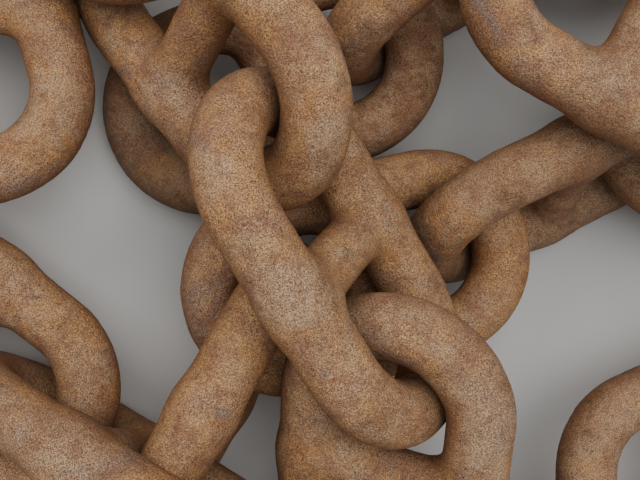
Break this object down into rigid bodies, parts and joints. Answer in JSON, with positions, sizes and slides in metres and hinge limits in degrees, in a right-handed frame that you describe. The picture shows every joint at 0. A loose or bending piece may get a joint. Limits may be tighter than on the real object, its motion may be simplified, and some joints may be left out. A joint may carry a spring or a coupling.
{
  "type": "heap of steel chain",
  "caption": "Loose heap of heavy stud-link steel chain, rusted all over, its runs of interlocked links lying across each other.",
  "frame": {"origin": "on the ground, below the middle of the heap's outline", "axes": "+Z up; +X is to the right and +Y is up in the picture, which looks straight down"},
  "size_m": [1.635, 1.521, 0.4014],
  "materials": {
    "rusted_steel": "heavily rusted, matt, pitted forged steel"
  },
  "bodies": {
    "root": {"link_01": "rusted_steel", "link_02": "rusted_steel", "link_03": "rusted_steel", "link_04": "rusted_steel", "link_05": "rusted_steel", "link_06": "rusted_steel", "link_07": "rusted_steel", "link_08": "rusted_steel", "link_09": "rusted_steel", "link_10": "rusted_steel", "link_11": "rusted_steel", "link_12": "rusted_steel", "link_13": "rusted_steel", "link_14": "rusted_steel", "link_15": "rusted_steel", "link_16": "rusted_steel", "link_17": "rusted_steel", "link_18": "rusted_steel", "link_19": "rusted_steel", "link_20": "rusted_steel", "link_21": "rusted_steel", "link_22": "rusted_steel", "link_23": "rusted_steel", "link_24": "rusted_steel", "link_25": "rusted_steel", "link_26": "rusted_steel", "link_27": "rusted_steel", "link_28": "rusted_steel", "link_29": "rusted_steel", "link_30": "rusted_steel", "link_31": "rusted_steel", "link_32": "rusted_steel"}
  },
  "joints": []
}
